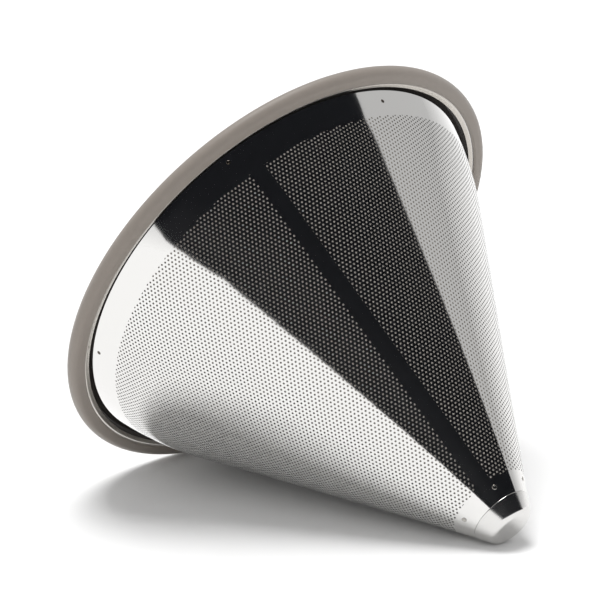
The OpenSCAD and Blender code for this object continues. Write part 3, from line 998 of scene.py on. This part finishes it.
def prop(name, points, faces, surface):
    """A studio prop of flat faces, in metres."""
    mesh = bpy.data.meshes.new(name)
    mesh.from_pydata(points, [], faces)
    mesh.materials.append(surface)
    return in_scene(name, mesh)


matte_white = material(
    "matte_white_table", {"Base Color": linear("#f4f4f4"), "Roughness": 0.9, "Specular IOR Level": 0.0}
)[0]
TABLE_HALF = 6.0
corners = [(x * TABLE_HALF, y * TABLE_HALF) for x, y in ((-1, -1), (1, -1), (1, 1), (-1, 1))]
table = prop("table", [(x, y, 0.0) for x, y in corners], [(0, 1, 2, 3)], matte_white)

SURROUND = 0.6
surround = bpy.data.worlds.new("white_surround")
surround.use_nodes = True
surround.node_tree.nodes["Background"].inputs["Color"].default_value = (1, 1, 1, 1)
surround.node_tree.nodes["Background"].inputs["Strength"].default_value = SURROUND
bpy.context.scene.world = surround


def far_light(name, towards, width, strength):
    """A light far away in that direction, as wide in degrees as a softbox would look from here."""
    lamp = bpy.data.lights.new(name, "SUN")
    lamp.angle = math.radians(width)
    lamp.energy = strength
    holder = in_scene(name, lamp)
    holder.rotation_euler = Vector(towards).to_track_quat("Z", "Y").to_euler()
    return holder


far_light("broad_overhead_light", (-0.10, -0.06, 1.0), 30, 2.3)

# A small light that falls straight into the holes of the wedge, and on nothing but the wire cloth.
hole_light = far_light("light_into_the_holes", (0.85, -0.38, 0.37), 24, 5.5)
hole_light.visible_glossy = False
lit_pieces = bpy.data.collections.new("lit_through_the_holes")
lit_pieces.objects.link(mesh_cone)
hole_light.light_linking.receiver_collection = lit_pieces

# The card's outline in its plane was worked out by a separate script, from where the wedge's edges
# lie on the cone, so it suits this camera only.
CARD_X = 0.15
CARD_OUTLINE = [
    (-0.105, 0.0), (0.115, 0.0), (0.113, 0.20), (0.166, 0.316), (0.29, 0.484), (0.67, 1.0),
    (-5.9, 2.5), (-5.9, 1.2), (-1.686, 0.258), (-1.206, 0.152), (-0.452, 0.048), (-0.285, 0.024),
]
card_black = material(
    "matte_black_card", {"Base Color": linear("#1c1d20"), "Roughness": 1.0, "Specular IOR Level": 0.0}
)[0]
card_points = [(CARD_X, y, z) for y, z in CARD_OUTLINE]
card = prop("black_card", card_points, [tuple(range(len(CARD_OUTLINE)))], card_black)

# A white wall round the table, as bright as the table at its foot, fades into the surround.
WALL_Z = 2.0
TABLE_GLOW = 1.15
lit_white, tree, shader = material(
    "lit_white_wall", {"Base Color": linear("#000000"), "Emission Color": (1, 1, 1, 1)}
)
at = add(tree, "ShaderNodeTexCoord").outputs["Object"]
above_table = add(tree, "ShaderNodeSeparateXYZ", [at]).outputs[2]
fade = add(tree, "ShaderNodeMapRange",
           {"Value": above_table, "From Max": WALL_Z, "To Min": TABLE_GLOW, "To Max": SURROUND})
tree.links.new(fade.outputs[0], shader.inputs["Emission Strength"])
wall_points = [(x, y, z) for z in (0.0, WALL_Z) for x, y in corners]
wall_faces = [(k, (k + 1) % 4, 4 + (k + 1) % 4, 4 + k) for k in range(4)]
white_wall = prop("fading_white_wall", wall_points, wall_faces, lit_white)
card.visible_camera = False
for seen_in_steel in (card, white_wall):
    seen_in_steel.visible_diffuse = False
    seen_in_steel.visible_shadow = False
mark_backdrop(table, card, white_wall)

CAMERA_AT = (0.316220, -0.307857, 0.139975)
CAMERA_AZIMUTH = math.radians(47.26)
CAMERA_HEIGHT = math.radians(11.593)
camera = in_scene("camera", bpy.data.cameras.new("camera"))
camera.location = CAMERA_AT
camera.rotation_euler = (math.pi / 2 - CAMERA_HEIGHT, 0.0, CAMERA_AZIMUTH)
camera.data.lens = 110.47
camera.data.sensor_width = 36.0
camera.data.clip_start = 0.01
camera.data.clip_end = 50.0
bpy.context.scene.camera = camera
bpy.context.scene.view_settings.view_transform = "Standard"

low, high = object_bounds()
